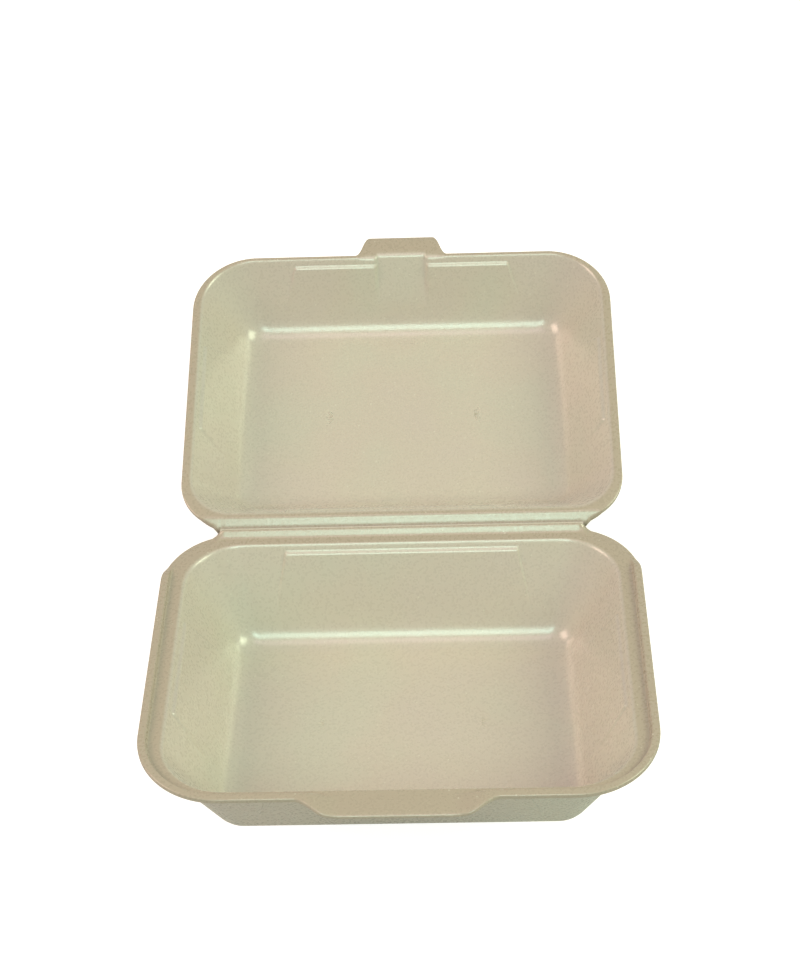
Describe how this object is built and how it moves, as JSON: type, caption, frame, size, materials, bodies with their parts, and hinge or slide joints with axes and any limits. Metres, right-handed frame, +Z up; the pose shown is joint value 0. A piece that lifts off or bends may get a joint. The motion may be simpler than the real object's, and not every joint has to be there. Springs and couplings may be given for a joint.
{
  "type": "foam clamshell container",
  "caption": "Hinged foam meal box lying open: a deep rounded tray with a lipped rim, and a shallower lid tray with a tuck tab, joined by a creased hinge.",
  "frame": {"origin": "centre of the lying open container's bounding box, on the surface that it lies on", "axes": "+Z up, +Y from the base towards the lid, +X along the hinge to the right as seen from the base's front"},
  "size_m": [0.185, 0.2846, 0.0729],
  "materials": {
    "foam": "champagne polystyrene foam skin, satin with a faint pearl sheen"
  },
  "bodies": {
    "base": {"base_tray": "foam"},
    "lid": {"lid_tray": "foam"}
  },
  "joints": [
    {"name": "lid_hinge", "type": "hinge", "parent": "base", "child": "lid", "pos_m": [0, -0.00261, 0.0287], "axis": [1, 0, 0], "range_deg": [-17.8, 162.15]}
  ]
}
